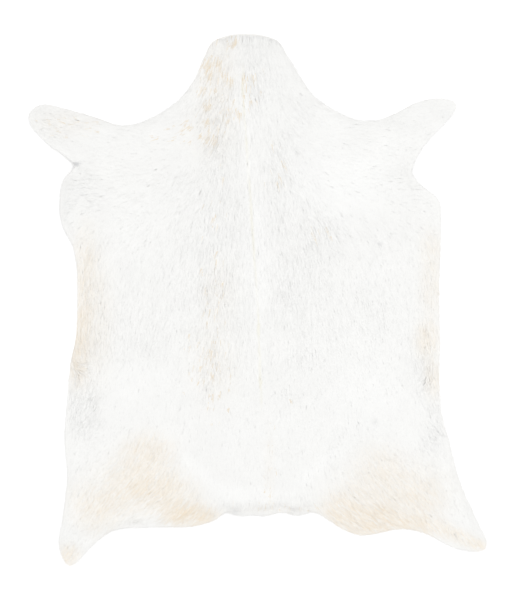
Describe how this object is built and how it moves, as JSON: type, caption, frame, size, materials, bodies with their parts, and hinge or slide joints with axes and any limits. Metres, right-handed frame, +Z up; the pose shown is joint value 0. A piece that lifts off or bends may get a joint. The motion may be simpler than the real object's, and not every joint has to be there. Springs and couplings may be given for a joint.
{
  "type": "goatskin",
  "caption": "Whole short-haired goatskin lying flat, hair side up, with neck, legs, flanks and rump in its natural outline.",
  "frame": {"origin": "on the floor under the middle of the hide's box", "axes": "+Y towards the neck, +X towards the side that is on the right when seen from above with the neck away, +Z up out of the hair"},
  "size_m": [0.7914, 0.92, 0.0087],
  "materials": {
    "goat_hair": "short lying goat hair, ivory white with tan patches, on pale suede leather"
  },
  "bodies": {
    "root": {"goatskin": "goat_hair"}
  },
  "joints": []
}
